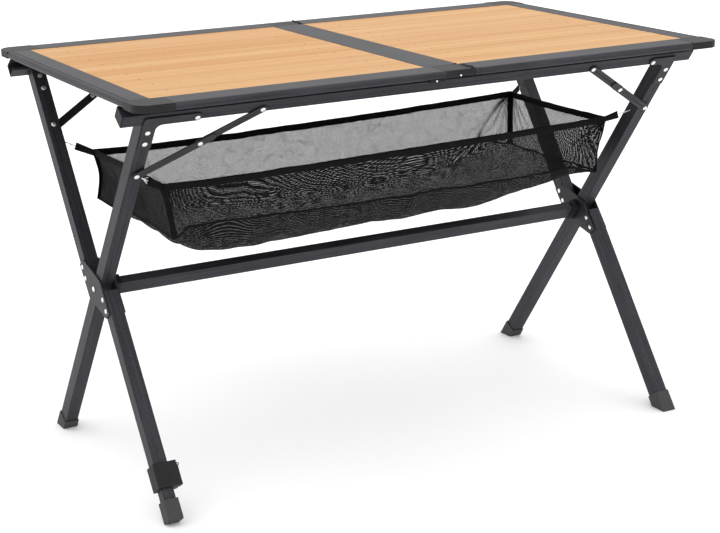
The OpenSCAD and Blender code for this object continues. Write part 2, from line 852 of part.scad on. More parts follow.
long_leg_left();
long_leg_right();
apron_front();
bracket_front_left();
bracket_front_right();
stay_lower_front();
stay_upper_front();
rivets_front();
pivot_bolts();
stretcher();
stretcher_sockets();
foot_back_left();
foot_back_right();
apron_plugs();
net_floor();
net_front();
net_back();
net_left();
net_right();
net_binding();
net_hooks_front();
upper_leg_left();
upper_leg_right();
lower_leg_left();
lower_leg_right();
hub_plates_outer();
hub_plates_inner();
apron_back();
bracket_back_left();
bracket_back_right();
stay_lower_back();
stay_upper_back();
rivets_back();
foot_front_right();
clamp_collar();
leg_plugs();
net_hooks_back();
level_tube();
level_foot();
clamp_lever();
end_profile_left();
corner_caps_left();
rail_left_front();
rail_left_back();
slats_left();
slat_screws_left();
battens_left();
crossbar();
t_caps();
seam_clips();
cap_screws();
hinge_pins();
end_profile_right();
corner_caps_right();
rail_right_front();
rail_right_back();
slats_right();
slat_screws_right();
battens_right();
rail_plugs();
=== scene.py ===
"""Looks of the folding camp kitchen table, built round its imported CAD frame."""

import logging
import math
from collections.abc import Callable, Sequence
from dataclasses import dataclass
from enum import Enum

import bmesh
import bpy
import numpy as np
from mathutils import Matrix, Vector, noise


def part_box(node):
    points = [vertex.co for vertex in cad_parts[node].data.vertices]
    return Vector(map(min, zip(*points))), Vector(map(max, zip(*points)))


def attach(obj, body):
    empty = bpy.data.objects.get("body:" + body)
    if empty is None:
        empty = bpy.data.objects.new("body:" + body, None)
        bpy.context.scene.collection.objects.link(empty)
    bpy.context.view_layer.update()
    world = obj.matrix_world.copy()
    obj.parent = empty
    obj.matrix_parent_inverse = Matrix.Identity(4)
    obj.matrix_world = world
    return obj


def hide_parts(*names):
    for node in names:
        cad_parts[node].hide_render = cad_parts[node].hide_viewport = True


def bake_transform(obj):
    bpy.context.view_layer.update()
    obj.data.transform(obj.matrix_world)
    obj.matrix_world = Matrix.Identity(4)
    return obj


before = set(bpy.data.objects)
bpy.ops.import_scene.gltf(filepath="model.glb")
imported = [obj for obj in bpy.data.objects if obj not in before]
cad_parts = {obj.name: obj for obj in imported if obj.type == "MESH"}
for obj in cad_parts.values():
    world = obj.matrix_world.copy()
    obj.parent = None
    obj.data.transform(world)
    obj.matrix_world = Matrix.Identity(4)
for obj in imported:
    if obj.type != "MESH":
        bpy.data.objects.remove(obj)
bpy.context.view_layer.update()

MM = 0.001
LEAN = math.radians(36)

log = logging.getLogger("camp_table")

Colour = tuple[float, float, float]
Triple = tuple[float, float, float]


# ---- Shader graphs ----


class Num:
    """A number in a material's graph; arithmetic on it adds Math nodes."""

    def __init__(self, graph: "Graph", socket: bpy.types.NodeSocket) -> None:
        """Keeps the graph and the socket that gives the number."""
        self.graph = graph
        self.socket = socket

    def math(self, operation: str, *values: "Num | float") -> "Num":
        """The result of a Math node fed with the values in order."""
        node = self.graph.node("ShaderNodeMath", {"operation": operation}, dict(enumerate(values)))
        return Num(self.graph, node.outputs[0])

    def __add__(self, other: "Num | float") -> "Num":
        """Sum."""
        return self.math("ADD", self, other)

    def __radd__(self, other: float) -> "Num":
        """Sum with a plain number on the left."""
        return self.math("ADD", other, self)

    def __sub__(self, other: "Num | float") -> "Num":
        """Difference."""
        return self.math("SUBTRACT", self, other)

    def __rsub__(self, other: float) -> "Num":
        """Difference from a plain number."""
        return self.math("SUBTRACT", other, self)

    def __mul__(self, other: "Num | float") -> "Num":
        """Product."""
        return self.math("MULTIPLY", self, other)

    def __rmul__(self, other: float) -> "Num":
        """Product with a plain number on the left."""
        return self.math("MULTIPLY", other, self)

    def __truediv__(self, other: "Num | float") -> "Num":
        """Quotient."""
        return self.math("DIVIDE", self, other)

    def __rtruediv__(self, other: float) -> "Num":
        """Quotient of a plain number."""
        return self.math("DIVIDE", other, self)

    def floor(self) -> "Num":
        """Whole part."""
        return self.math("FLOOR", self)

    def fraction(self) -> "Num":
        """Part after the point."""
        return self.math("FRACT", self)

    def size(self) -> "Num":
        """Value without its sign."""
        return self.math("ABSOLUTE", self)

    def above(self, edge: "Num | float") -> "Num":
        """1 where the number is above the edge, else 0."""
        return self.math("GREATER_THAN", self, edge)

    def larger(self, other: "Num | float") -> "Num":
        """The larger of two numbers."""
        return self.math("MAXIMUM", self, other)

    def step(self, low: float, high: float) -> "Num":
        """0 below low, 1 above high, and smooth between them."""
        node = self.graph.node(
            "ShaderNodeMapRange",
            {"interpolation_type": "SMOOTHSTEP"},
            {"Value": self, "From Min": low, "From Max": high, "To Min": 0.0, "To Max": 1.0},
        )
        return Num(self.graph, node.outputs[0])


class Graph:
    """Node graph of one material, with a Principled shader at its end."""

    def __init__(self, name: str, constants: dict[str, object]) -> None:
        """Starts an empty material.

        Args:
            name: The material's name.
            constants: Values set on the shader's own sockets.
        """
        self.material = bpy.data.materials.new(name)
        self.material.use_nodes = True
        self.tree = self.material.node_tree
        self.tree.nodes.clear()
        self.shader = self.node("ShaderNodeBsdfPrincipled", {}, constants)
        self.node("ShaderNodeOutputMaterial", {}, {"Surface": self.shader.outputs[0]})
        self.place = self.node("ShaderNodeTexCoord", {}, {}).outputs["Object"]

    def node(self, kind: str, settings: dict[str, object], inputs: dict) -> bpy.types.Node:
        """Adds a node.

        Args:
            kind: The node's type.
            settings: Its properties.
            inputs: Values or links for its sockets, by name or number.

        Returns:
            The new node.
        """
        node = self.tree.nodes.new(kind)
        for key, value in settings.items():
            setattr(node, key, value)
        for key, value in inputs.items():
            source = value.socket if isinstance(value, Num) else value
            if isinstance(source, bpy.types.NodeSocket):
                self.tree.links.new(source, node.inputs[key])
            else:
                node.inputs[key].default_value = source
        return node

    def axes(self, vector: bpy.types.NodeSocket | None = None) -> tuple[Num, Num, Num]:
        """The three parts of a vector, by default the place on the object in metres."""
        split = self.node("ShaderNodeSeparateXYZ", {}, {0: vector or self.place})
        return tuple(Num(self, out) for out in split.outputs)

    def along(self, way: Triple) -> Num:
        """Distance along a direction, in metres."""
        dot = self.node(
            "ShaderNodeVectorMath", {"operation": "DOT_PRODUCT"}, {0: self.place, 1: way}
        )
        return Num(self, dot.outputs["Value"])

    def vector(self, x: Num | float, y: Num | float, z: Num | float) -> bpy.types.NodeSocket:
        """A vector from three numbers."""
        return self.node("ShaderNodeCombineXYZ", {}, {0: x, 1: y, 2: z}).outputs[0]

    def cloud(
        self, scale: float, detail: float = 2.0, place: bpy.types.NodeSocket | None = None
    ) -> Num:
        """Soft noise from 0 to 1; scale counts its features in a metre."""
        inputs = {"Vector": place or self.place, "Scale": scale, "Detail": detail}
        return Num(self, self.node("ShaderNodeTexNoise", {}, inputs).outputs[0])

    def lottery(self, number: Num) -> Num:
        """A fixed random value from 0 to 1 for each whole number."""
        node = self.node("ShaderNodeTexWhiteNoise", {"noise_dimensions": "1D"}, {"W": number})
        return Num(self, node.outputs["Value"])

    def mix(self, share: Num | float, low: object, high: object) -> bpy.types.NodeSocket:
        """Colour between low and high."""
        node = self.node("ShaderNodeMix", {"data_type": "RGBA"}, {0: share})
        for key, value in ((6, low), (7, high)):
            if isinstance(value, bpy.types.NodeSocket):
                self.tree.links.new(value, node.inputs[key])
            else:
                node.inputs[key].default_value = (*value, 1.0)
        return node.outputs[2]

    def feed(self, **links: object) -> None:
        """Links values to the shader's sockets; an underscore stands for a space."""
        for key, value in links.items():
            source = value.socket if isinstance(value, Num) else value
            self.tree.links.new(source, self.shader.inputs[key.replace("_", " ")])

    def crevice(self, reach: float) -> Num:
        """1 in corners and gaps narrower than about reach metres, 0 on open faces: the mask for
        painted shade in corners.
        """
        node = self.node("ShaderNodeAmbientOcclusion", {"samples": 4}, {"Distance": reach})
        return 1 - Num(self, node.outputs["AO"]).step(0.25, 0.95)

    def bump(self, height: Num, depth: float) -> None:
        """Feeds the shader's normal from a height that is depth metres at 1."""
        inputs = {"Height": height, "Distance": depth, "Strength": 1.0}
        self.feed(Normal=self.node("ShaderNodeBump", {}, inputs).outputs[0])


# ---- Finishes ----


@dataclass(frozen=True)
class Extrusion:
    """Anthracite anodised aluminium: bead-blasted grain over fine die lines along its length."""

    name: str
    way: Triple
    tone: Colour = (0.014, 0.0135, 0.0175)
    light: Colour = (0.039, 0.0375, 0.047)
    # near-black colour of the painted shade in corners and gaps
    painted_shade: Colour = (0.003, 0.003, 0.004)

    def build(self) -> bpy.types.Material:
        """Material for a profile that runs along way."""
        g = Graph(self.name, {"Metallic": 0.30, "IOR": 1.5, "Specular IOR Level": 0.28})
        side = Vector(self.way).orthogonal().normalized()
        over = Vector(self.way).cross(side)
        length, a, b = g.along(self.way), g.along(tuple(side)), g.along(tuple(over))
        lines = g.cloud(1.0, 3.0, g.vector(length * 7.0, a * 330.0, b * 330.0))
        blast = g.cloud(420.0, 3.0)
        drift = g.cloud(9.0, 2.0)
        share = (lines * 0.45 + blast * 0.35 + drift * 0.20).step(0.36, 0.64)
        colour = g.mix(share, self.tone, self.light)
        # Painted shade: the colour darkens to near black in corners and gaps.
        g.feed(Base_Color=g.mix(g.crevice(7 * MM) * 0.8, colour, self.painted_shade))
        g.feed(Roughness=0.44 + lines * 0.08 + blast * 0.14)
        g.bump(blast * 0.7 + lines * 0.3, 0.05 * MM)
        return g.material


@dataclass(frozen=True)
class PowderCoat:
    """Dark powder coat with a fine orange-peel grain on plate parts."""

    name: str
    tone: Colour = (0.011, 0.0105, 0.0135)
    light: Colour = (0.029, 0.028, 0.035)
    # near-black colour of the painted shade in corners and gaps
    painted_shade: Colour = (0.003, 0.003, 0.004)

    def build(self) -> bpy.types.Material:
        """Material for pressed plates."""
        g = Graph(self.name, {"Metallic": 0.2, "IOR": 1.5, "Specular IOR Level": 0.38})
        grain, fine, drift = g.cloud(520.0, 3.0), g.cloud(2600.0, 1.0), g.cloud(22.0, 2.0)
        colour = g.mix((grain * 0.7 + drift * 0.3).step(0.33, 0.70), self.tone, self.light)
        # Painted shade: the colour darkens to near black in corners and gaps.
        g.feed(Base_Color=g.mix(g.crevice(6 * MM) * 0.85, colour, self.painted_shade))
        g.feed(Roughness=0.46 + grain * 0.16)
        g.bump(grain * 0.7 + fine * 0.3, 0.06 * MM)
        return g.material


@dataclass(frozen=True)
class Bamboo:
    """Lacquered bamboo slats: long fibres, cross nodes and a tone for each slat."""

    name: str
    pitch: float
    field: float
    seam: float
    strips: float = 3.0
    pale: Colour = (0.56, 0.325, 0.135)
    honey: Colour = (0.48, 0.235, 0.072)
    amber: Colour = (0.43, 0.175, 0.032)
    # dark colour of the painted shade on the slats' sides and undersides
    painted_underside_shade: Colour = (0.10, 0.075, 0.055)
    # depth below the top face where the painted shade begins
    shade_depth: float = 1.5 * MM

    def build(self) -> bpy.types.Material:
        """Material for slats that run along X."""
        g = Graph(self.name, {"IOR": 1.45, "Specular IOR Level": 0.14})
        x, y, z = g.axes()
        place = (y + self.field / 2) / self.pitch
        slat = place.floor()
        half = x.above(self.seam)
        lot = g.lottery(slat + half * 31.0 + 5.0)
        lot_b = g.lottery(slat * 1.7 + half * 13.0 + 40.0)
        strip = (place * self.strips).floor()
        strip_tone = g.lottery(strip + half * 77.0 + 0.5)
        shift = lot * 3.0 + strip_tone * 2.0
        fibre = g.cloud(1.0, 4.0, g.vector(x * 3.0 + shift, y * 420.0, z * 420.0))
        streak = g.cloud(1.0, 3.0, g.vector(x * 1.3 + shift, y * 95.0, z * 95.0))
        broad = g.cloud(1.0, 2.0, g.vector(x * 1.6 + lot * 3.0, y * 24.0, 0.0))
        fleck = g.cloud(1.0, 1.0, g.vector(x * 60.0 + shift, y * 1300.0, z * 1300.0))
        turn = (x * 3.3 + strip_tone + streak * 0.03).fraction()
        knot = (1 - (turn - 0.5).size().step(0.003, 0.012)) * strip_tone.step(0.35, 0.5)
        edge = ((place * self.strips).fraction() - 0.5).size().step(0.44, 0.49)
        joint = (place.fraction() - 0.5).size().step(0.478, 0.496)
        # Painted shade: below the top face the slats darken, to darken their undersides and the
        # gaps under the rails.
        under = 1 - z.above(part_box("slats_left")[1].z - self.shade_depth)
        tones = lot * 0.35 + strip_tone * 0.40 + broad * 0.45 + half * 0.20
        colour = g.mix(tones.step(0.15, 1.05), self.honey, self.pale)
        colour = g.mix(streak.step(0.40, 0.80) * (0.35 + lot_b * 0.5), colour, self.amber)
        colour = g.mix(fibre.step(0.48, 0.72) * 0.22, colour, (0.355, 0.147, 0.038))
        colour = g.mix(fleck.step(0.66, 0.74) * 0.25, colour, (0.26, 0.105, 0.030))
        colour = g.mix(edge * 0.30, colour, (0.60, 0.37, 0.18))
        colour = g.mix(knot * 0.30, colour, (0.30, 0.125, 0.032))
        colour = g.mix(joint * 0.30, colour, (0.26, 0.11, 0.032))
        # Painted shade on the slats' sides and undersides.
        g.feed(Base_Color=g.mix(under * 0.9, colour, self.painted_underside_shade))
        g.feed(Roughness=0.44 + fibre * 0.14 - knot * 0.05)
        g.bump(fibre * 0.6 + fleck * 0.2 + knot * 0.4 - joint * 0.5, 0.10 * MM)
        return g.material


@dataclass(frozen=True)
class Moulded:
    """Moulded black nylon or rubber with a fine spark-eroded grain."""

    name: str
    tone: Colour = (0.006, 0.006, 0.007)
    light: Colour = (0.014, 0.014, 0.016)
    rough: float = 0.50
    grain: float = 900.0
    depth: float = 0.08 * MM

    def build(self) -> bpy.types.Material:
        """Material for moulded parts."""
        g = Graph(self.name, {"IOR": 1.45, "Specular IOR Level": 0.26})
        grain, drift = g.cloud(self.grain, 3.0), g.cloud(30.0, 3.0)
        dust = g.cloud(140.0, 5.0).step(0.60, 0.78) * drift.step(0.45, 0.70)
        colour = g.mix((grain * 0.6 + drift * 0.4).step(0.35, 0.70), self.tone, self.light)
        colour = g.mix(dust * 0.06, colour, (0.20, 0.19, 0.17))
        # Painted shade: the colour darkens to near black in corners and gaps.
        g.feed(Base_Color=g.mix(g.crevice(5 * MM) * 0.7, colour, (0.003, 0.003, 0.003)))
        g.feed(Roughness=self.rough + grain * 0.14 + dust * 0.1)
        g.bump(grain, self.depth)
        return g.material


@dataclass(frozen=True)
class BrightSteel:
    """Zinc-plated steel of rivets, bolts and wire."""

    name: str
    tone: Colour = (0.86, 0.86, 0.87)
    dark: Colour = (0.50, 0.50, 0.51)

    def build(self) -> bpy.types.Material:
        """Material for small bright hardware."""
        g = Graph(self.name, {"Metallic": 1.0})
        fine, patch = g.cloud(2600.0, 3.0), g.cloud(420.0, 3.0)
        colour = g.mix(patch.step(0.50, 0.80) * 0.7, self.tone, self.dark)
        g.feed(Base_Color=g.mix(fine.step(0.62, 0.75) * 0.3, colour, (0.80, 0.80, 0.80)))
        g.feed(Roughness=0.26 + fine * 0.16 + patch * 0.12)
        g.bump(fine * 0.6 + patch * 0.4, 0.03 * MM)
        return g.material


@dataclass(frozen=True)
class NetMesh:
    """Fine woven polyester net: square holes between twisted threads."""

    name: str
    hole: float = 0.49
    pitch: float = 1.8 * MM
    stretch: float = 26 * MM

    def build(self) -> bpy.types.Material:
        """Material that reads the cloth's own map, in metres."""
        g = Graph(self.name, {"IOR": 1.45, "Specular IOR Level": 0.08})
        u, v, _ = g.axes(g.node("ShaderNodeUVMap", {"uv_map": "weave"}, {}).outputs[0])
        bunch = g.node("ShaderNodeAttribute", {"attribute_name": "gather"}, {})
        gather = Num(g, bunch.outputs["Fac"])
        across = (u + (g.cloud(6.5, 0.0) - 0.5) * self.stretch) / self.pitch
        down = (v + (g.cloud(8.5, 0.0) - 0.5) * self.stretch) / self.pitch
        from_u, from_v = (across.fraction() - 0.5).size(), (down.fraction() - 0.5).size()
        slack = g.cloud(900.0, 1.0) * 0.03 - 0.015
        thread = (from_u.larger(from_v) + slack).above((1 - gather * 0.8) * (self.hole / 2))
        twist = ((u + v) * (4.0 / self.pitch)).fraction()
        patch = g.cloud(24.0, 3.0)
        colour = g.mix(patch.step(0.3, 0.75), (0.0015, 0.0015, 0.0015), (0.004, 0.004, 0.0045))
        g.feed(Base_Color=g.mix(twist * 0.4, colour, (0.006, 0.006, 0.0065)))
        g.feed(Alpha=thread, Roughness=0.55 + twist * 0.2)
        g.bump(twist * 0.5 + from_u * 0.5, 0.15 * MM)
        return g.material


@dataclass(frozen=True)
class Webbing:
    """Black woven binding tape with cross ribs."""

    name: str
    rib: float = 1.1 * MM

    def build(self) -> bpy.types.Material:
        """Material that reads the tape's own map: u along it, v across it, in metres."""
        g = Graph(self.name, {"IOR": 1.45, "Specular IOR Level": 0.12})
        u, v, _ = g.axes(g.node("ShaderNodeUVMap", {"uv_map": "weave"}, {}).outputs[0])
        along = u / self.rib
        shifted = v / (self.rib * 0.8) + along.floor() * 0.5
        rib = 1 - (along.fraction() - 0.5).size() * 2.0
        cross = 1 - (shifted.fraction() - 0.5).size() * 2.0
        fuzz, patch = g.cloud(1800.0, 3.0), g.cloud(45.0, 2.0)
        weave = rib * 0.6 + cross * 0.4
        colour = g.mix((weave * 0.6 + fuzz * 0.4).step(0.3, 0.8), (0.0015, 0.0015, 0.0015),
                       (0.006, 0.006, 0.0065))
        g.feed(Base_Color=g.mix(patch.step(0.5, 0.8) * 0.15, colour, (0.015, 0.015, 0.015)))
        g.feed(Roughness=0.62 + fuzz * 0.25)
        g.bump(weave * 0.7 + fuzz * 0.3, 0.30 * MM)
        return g.material


class Finish(Enum):
    """Every finish on the table, by the job that it does."""

    RAIL = Extrusion("anodised_rail", (1.0, 0.0, 0.0))
    END = Extrusion("anodised_end_profile", (0.0, 1.0, 0.0))
    LONG_LEG = Extrusion("anodised_long_leg", (0.0, -math.sin(LEAN), math.cos(LEAN)))
    SPLIT_LEG = Extrusion("anodised_split_leg", (0.0, math.sin(LEAN), math.cos(LEAN)))
    PLATE = PowderCoat("powder_coat_plate")
    STAY = PowderCoat("powder_coat_stay", (0.012, 0.0115, 0.0145), (0.031, 0.030, 0.036))
    BAMBOO = Bamboo("lacquered_bamboo", 0.0585, 0.585, 0.005)
    NYLON = Moulded("moulded_nylon")
    RUBBER = Moulded("foot_rubber", (0.003, 0.003, 0.003), (0.007, 0.007, 0.007), 0.70, 500.0)
    SCREW = Moulded("blackened_screw", (0.010, 0.006, 0.004), (0.022, 0.013, 0.008), 0.45, 1500.0)
    DARK_PIN = Moulded("blackened_pin", (0.012, 0.012, 0.013), (0.024, 0.024, 0.027), 0.34, 1500.0)
    STEEL = BrightSteel("plated_steel")
    NET = NetMesh("woven_net")
    NET_FLOOR = NetMesh("woven_net_floor", hole=0.36)
    TAPE = Webbing("binding_tape")

    @property
    def material(self) -> bpy.types.Material:
        """The finish's material, built on first use."""
        found = bpy.data.materials.get(self.value.name)
        return found or self.value.build()


# ---- Mesh helpers ----


def new_object(name: str, mesh: bpy.types.Mesh, finish: Finish) -> bpy.types.Object:
    """Puts a mesh into the scene with a finish.

    Args:
        name: The piece's name.
        mesh: Its mesh, in the row frame.
        finish: What it is made of.

    Returns:
        The new object.
    """
    mesh.name = name
    obj = bpy.data.objects.new(name, mesh)
    bpy.context.scene.collection.objects.link(obj)
    mesh.materials.append(finish.material)
    for polygon in mesh.polygons:
        polygon.use_smooth = True
    log.info("piece %s: %d faces", name, len(mesh.polygons))
    return obj


def add_modifier(obj: bpy.types.Object, kind: str, **settings: object) -> None:
    """Adds a modifier with its settings."""
    modifier = obj.modifiers.new(kind.title(), kind)
    for key, value in settings.items():
        setattr(modifier, key, value)


def soften(obj: bpy.types.Object, radius: float, steps: int = 2, angle: float = 35.0) -> None:
    """Rounds the edges of a hard part.

    Args:
        obj: The part.
        radius: Width of the rounding, in metres.
        steps: Segments across it.
        angle: Edges sharper than this many degrees are rounded.
    """
    add_modifier(obj, "WELD", merge_threshold=0.01 * MM)
    add_modifier(
        obj, "BEVEL", width=radius, segments=steps, limit_method="ANGLE",
        angle_limit=math.radians(angle), use_clamp_overlap=False,
    )
    add_modifier(obj, "WEIGHTED_NORMAL", keep_sharp=True, weight=50)


def dress(nodes: Sequence[str], finish: Finish, radius: float = 0.0) -> None:
    """Gives CAD nodes a finish.

    Args:
        nodes: Names of the nodes.
        finish: What they are made of.
        radius: Rounding of their edges, in metres; 0 leaves them sharp.
    """
    for name in nodes:
        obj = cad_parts[name]
        obj.data.materials.clear()
        obj.data.materials.append(finish.material)
        if radius:
            soften(obj, radius)
        log.info("node %s: %s", name, finish.value.name)


@dataclass(frozen=True)
class Sweep:
    """A section carried along a path, with a weave map of u along it and v round it."""

    section: Sequence[tuple[float, float]]
    closed: bool = False

    def mesh(self, path: Sequence[Vector], up: Callable[[int], Vector],
             scale: Callable[[int], tuple[float, float]] | None = None) -> bpy.types.Mesh:
        """Builds the swept mesh.

        Args:
            path: Points of the centre line.
            up: Direction of the section's second axis at each point.
            scale: Factors on the section's two axes at each point.

        Returns:
            The mesh, with ends closed where the path is open.
        """
        bm = bmesh.new()
        weave = bm.loops.layers.uv.new("weave")
        count, rings, travel = len(path), [], [0.0]
        for i, point in enumerate(path):
            before = path[i - 1] if i or self.closed else point
            after = path[(i + 1) % count] if i + 1 < count or self.closed else point
            ahead = (after - before).normalized()
            side = ahead.cross(up(i)).normalized()
            high = side.cross(ahead).normalized()
            wide, tall = scale(i) if scale else (1.0, 1.0)
            rings.append([bm.verts.new(point + side * a * wide + high * b * tall)
                          for a, b in self.section])
            travel.append(travel[-1] + (path[(i + 1) % count] - point).length)
        edge = [0.0]
        for a, b in zip(self.section, [*self.section[1:], self.section[0]]):
            edge.append(edge[-1] + math.dist(a, b))
        size = len(self.section)
        for i in range(count if self.closed else count - 1):
            near, far = rings[i], rings[(i + 1) % count]
            for k in range(size):
                face = bm.faces.new((near[k], near[(k + 1) % size], far[(k + 1) % size], far[k]))
                corners = ((i, k), (i, k + 1), (i + 1, k + 1), (i + 1, k))
                for loop, (m, n) in zip(face.loops, corners):
                    loop[weave].uv = (travel[m], edge[n])
        if not self.closed:
            bm.faces.new(rings[0])
            bm.faces.new(list(reversed(rings[-1])))
        bmesh.ops.recalc_face_normals(bm, faces=bm.faces)
        made = bpy.data.meshes.new("sweep")
        bm.to_mesh(made)
        bm.free()
        return made


def band(thick: float, tall: float) -> list[tuple[float, float]]:
    """Section of a flat tape with rounded edges."""
    t, h = thick / 2, tall / 2
    return [(t, -h + t), (t, h - t), (t * 0.6, h - t * 0.3), (0, h), (-t * 0.6, h - t * 0.3),
            (-t, h - t), (-t, -h + t), (-t * 0.6, -h + t * 0.3), (0, -h), (t * 0.6, -h + t * 0.3)]


def ease(value: float, low: float, high: float) -> float:
    """0 below low, 1 above high, and smooth between them."""
    share = min(max((value - low) / (high - low), 0.0), 1.0)
    return share * share * (3 - 2 * share)


def on_side(value: float) -> bool:
    """Whether a place from -1 to 1 across the shelf lies on one of its sides."""
    return abs(value) > 0.999


def rumple(size: float, *place: float) -> float:
    """Soft unevenness of cloth at a place, up to size either way."""
    return size * noise.noise(Vector(place))


def round_section(radius: float, sides: int = 12) -> list[tuple[float, float]]:
    """Section of a round wire."""
    turns = (2 * math.pi * k / sides for k in range(sides))
    return [(radius * math.cos(t), radius * math.sin(t)) for t in turns]


# ---- Studio ----


@dataclass
class Studio:
    """Camera, pale floor and soft lights."""

    eye: Triple = (-1.49899926, -2.71267299, 1.22199419)
    yaw: float = 28.92198685
    pitch: float = -16.46760621
    roll: float = -0.97791345
    lens: float = 83.0926
    sensor: float = 36.0
    floor: float = 30.0
    sky: float = 1.40
    key: float = 0.32

    def camera(self) -> None:
        """Stands the camera in front of the table, a little left of it."""
        yaw, pitch, roll = (math.radians(a) for a in (self.yaw, self.pitch, self.roll))
        ahead = Vector((math.sin(yaw) * math.cos(pitch), math.cos(yaw) * math.cos(pitch),
                        math.sin(pitch)))
        right = ahead.cross(Vector((0, 0, 1))).normalized()
        up = right.cross(ahead)
        turned = right * math.cos(roll) + up * math.sin(roll)
        raised = up * math.cos(roll) - right * math.sin(roll)
        data = bpy.data.cameras.new("camera")
        data.lens, data.sensor_width = self.lens, self.sensor
        data.clip_start, data.clip_end = 0.05, 100.0
        camera = bpy.data.objects.new("camera", data)
        axes = Matrix((turned, raised, -ahead)).transposed().to_4x4()
        camera.matrix_world = Matrix.Translation(self.eye) @ axes
        bpy.context.scene.collection.objects.link(camera)
        bpy.context.scene.camera = camera

    def softbox(self, name: str, place: Triple, power: float, spread: float) -> None:
        """Adds a wide soft light that shines from the direction of place, spread in degrees."""
        data = bpy.data.lights.new(name, "SUN")
        data.energy, data.angle = power, math.radians(spread)
        lamp = bpy.data.objects.new(name, data)
        lamp.rotation_mode = "QUATERNION"
        lamp.rotation_quaternion = (-Vector(place)).to_track_quat("-Z", "Y")
        bpy.context.scene.collection.objects.link(lamp)

    def build(self) -> None:
        """Builds the studio."""
        self.camera()
        scene = bpy.context.scene
        scene.view_settings.view_transform = "Standard"
        world = bpy.data.worlds.new("pale_room")
        world.use_nodes = True
        sky = world.node_tree.nodes["Background"].inputs
        sky["Color"].default_value = (1.0, 1.0, 1.0, 1.0)
        sky["Strength"].default_value = self.sky
        scene.world = world
        self.softbox("softbox", (-1.6, -2.4, 5.0), self.key, 75.0)
        half = self.floor / 2
        mesh = bpy.data.meshes.new("floor")
        mesh.from_pydata([(-half, -half, 0), (half, -half, 0), (half, half, 0), (-half, half, 0)],
                         [], [(0, 1, 2, 3)])
        ground = bpy.data.objects.new("floor", mesh)
        scene.collection.objects.link(ground)
        g = Graph("pale_floor", {"Roughness": 0.9})
        g.feed(Base_Color=g.mix(g.cloud(3.0), (0.93, 0.93, 0.93), (0.95, 0.95, 0.95)))
        mesh.materials.append(g.material)


# ---- Leg frames ----


@dataclass
class LegFrames:
    """The two crossed frames, their plates, stays, feet and stretcher."""

    edge: float = 0.8 * MM

    def build(self) -> None:
        """Dresses the metal of both frames."""
        dress(["long_leg_left", "long_leg_right"], Finish.LONG_LEG, self.edge)
        dress(["upper_leg_left", "upper_leg_right", "lower_leg_left", "lower_leg_right",
               "level_tube"], Finish.SPLIT_LEG, self.edge)
        dress(["apron_front", "apron_back", "stretcher"], Finish.RAIL, self.edge)
        dress(["bracket_front_left", "bracket_front_right", "bracket_back_left",
               "bracket_back_right", "hub_plates_outer", "hub_plates_inner"],
              Finish.PLATE, 0.5 * MM)
        dress(["stay_lower_front", "stay_upper_front", "stay_lower_back", "stay_upper_back"],
              Finish.STAY, 0.5 * MM)
        dress(["rivets_front", "rivets_back", "pivot_bolts", "net_hooks_front",
               "net_hooks_back"], Finish.STEEL, 0.2 * MM)
        dress(["clamp_lever"], Finish.DARK_PIN, 0.2 * MM)
        dress(["stretcher_sockets", "clamp_collar", "apron_plugs", "leg_plugs"], Finish.NYLON,
              self.edge)
        dress(["foot_back_left", "foot_back_right", "foot_front_right", "level_foot"],
              Finish.RUBBER, self.edge)


# ---- Table top ----


@dataclass
class TableTop:
    """Two halves of slatted bamboo in their aluminium rims."""

    edge: float = 0.8 * MM

    def build(self) -> None:
        """Dresses the top."""
        dress(["rail_left_front", "rail_left_back", "rail_right_front", "rail_right_back",
               "rail_plugs"], Finish.RAIL, self.edge)
        dress(["end_profile_left", "end_profile_right", "crossbar"], Finish.END, self.edge)
        dress(["corner_caps_left", "corner_caps_right", "t_caps", "seam_clips"], Finish.NYLON,
              self.edge)
        dress(["slats_left", "slats_right"], Finish.BAMBOO, 0.15 * MM)
        dress(["slat_screws_left", "slat_screws_right"], Finish.SCREW, 0.3 * MM)
        dress(["battens_left", "battens_right"], Finish.RAIL, 0.4 * MM)
        dress(["hinge_pins"], Finish.DARK_PIN, 0.2 * MM)
        dress(["cap_screws"], Finish.STEEL, 0.2 * MM)


# ---- Net shelf ----


